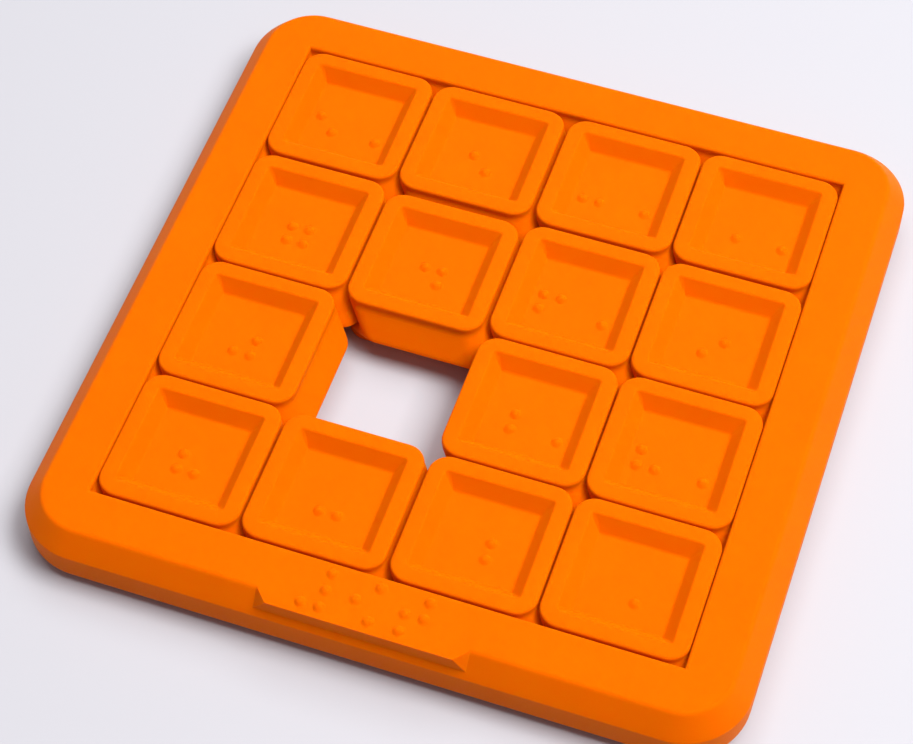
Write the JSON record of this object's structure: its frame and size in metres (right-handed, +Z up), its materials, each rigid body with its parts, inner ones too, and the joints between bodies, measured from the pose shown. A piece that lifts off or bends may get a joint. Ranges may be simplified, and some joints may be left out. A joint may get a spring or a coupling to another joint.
{
  "type": "sliding tile puzzle",
  "caption": "Flat square frame of captive, interlocking square tiles that slide into an empty cell; each tile carries a raised braille numeral in a shallow finger tray.",
  "frame": {"origin": "middle of the frame's underside", "axes": "+Z up out of the faces of the tiles, +Y towards the rail that carries the braille label, +X to the right of a reader who has that rail at the far side"},
  "size_m": [0.0986, 0.0986, 0.0095],
  "materials": {
    "frame_plastic": "matte, fine printed layer lines",
    "tile_plastic": "matte, fine printed layer lines"
  },
  "bodies": {
    "frame": {"frame": "frame_plastic"},
    "tile_01": {"tile_01": "tile_plastic"},
    "tile_02": {"tile_02": "tile_plastic"},
    "tile_03": {"tile_03": "tile_plastic"},
    "tile_04": {"tile_04": "tile_plastic"},
    "tile_05": {"tile_05": "tile_plastic"},
    "tile_06": {"tile_06": "tile_plastic"},
    "tile_07": {"tile_07": "tile_plastic"},
    "tile_08": {"tile_08": "tile_plastic"},
    "tile_09": {"tile_09": "tile_plastic"},
    "tile_10": {"tile_10": "tile_plastic"},
    "tile_11": {"tile_11": "tile_plastic"},
    "tile_12": {"tile_12": "tile_plastic"},
    "tile_13": {"tile_13": "tile_plastic"},
    "tile_14": {"tile_14": "tile_plastic"},
    "tile_15": {"tile_15": "tile_plastic"}
  },
  "joints": [
    {"name": "tile_01_slide", "type": "slide", "parent": "frame", "child": "tile_01", "axis": [1, 0, 0], "range_m": [-0.000075, 0.00025]},
    {"name": "tile_02_slide", "type": "slide", "parent": "frame", "child": "tile_02", "axis": [1, 0, 0], "range_m": [-0.00025, 0.0006]},
    {"name": "tile_03_slide", "type": "slide", "parent": "frame", "child": "tile_03", "axis": [0, -1, 0], "range_m": [-0.00028, 0.0194]},
    {"name": "tile_04_slide", "type": "slide", "parent": "frame", "child": "tile_04", "axis": [1, 0, 0], "range_m": [-0.00035, 0.000075]},
    {"name": "tile_05_slide", "type": "slide", "parent": "frame", "child": "tile_05", "axis": [0, -1, 0], "range_m": [-0.00125, 0.00022]},
    {"name": "tile_06_slide", "type": "slide", "parent": "frame", "child": "tile_06", "axis": [1, 0, 0], "range_m": [-0.00035, 0.000075]},
    {"name": "tile_07_slide", "type": "slide", "parent": "frame", "child": "tile_07", "axis": [1, 0, 0], "range_m": [-0.00035, 0.000075]},
    {"name": "tile_08_slide", "type": "slide", "parent": "frame", "child": "tile_08", "axis": [0, -1, 0], "range_m": [-0.0194, 0.00125]},
    {"name": "tile_09_slide", "type": "slide", "parent": "frame", "child": "tile_09", "axis": [1, 0, 0], "range_m": [-0.000075, 0.00025]},
    {"name": "tile_10_slide", "type": "slide", "parent": "frame", "child": "tile_10", "axis": [1, 0, 0], "range_m": [-0.00025, 0.0006]},
    {"name": "tile_11_slide", "type": "slide", "parent": "frame", "child": "tile_11", "axis": [1, 0, 0], "range_m": [-0.000075, 0.00025]},
    {"name": "tile_12_slide", "type": "slide", "parent": "frame", "child": "tile_12", "axis": [1, 0, 0], "range_m": [-0.00025, 0.0006]},
    {"name": "tile_13_slide", "type": "slide", "parent": "frame", "child": "tile_13", "axis": [1, 0, 0], "range_m": [-0.00025, 0.0006]},
    {"name": "tile_14_slide", "type": "slide", "parent": "frame", "child": "tile_14", "axis": [1, 0, 0], "range_m": [-0.000075, 0.00025]},
    {"name": "tile_15_slide", "type": "slide", "parent": "frame", "child": "tile_15", "axis": [1, 0, 0], "range_m": [-0.00035, 0.000075]}
  ]
}
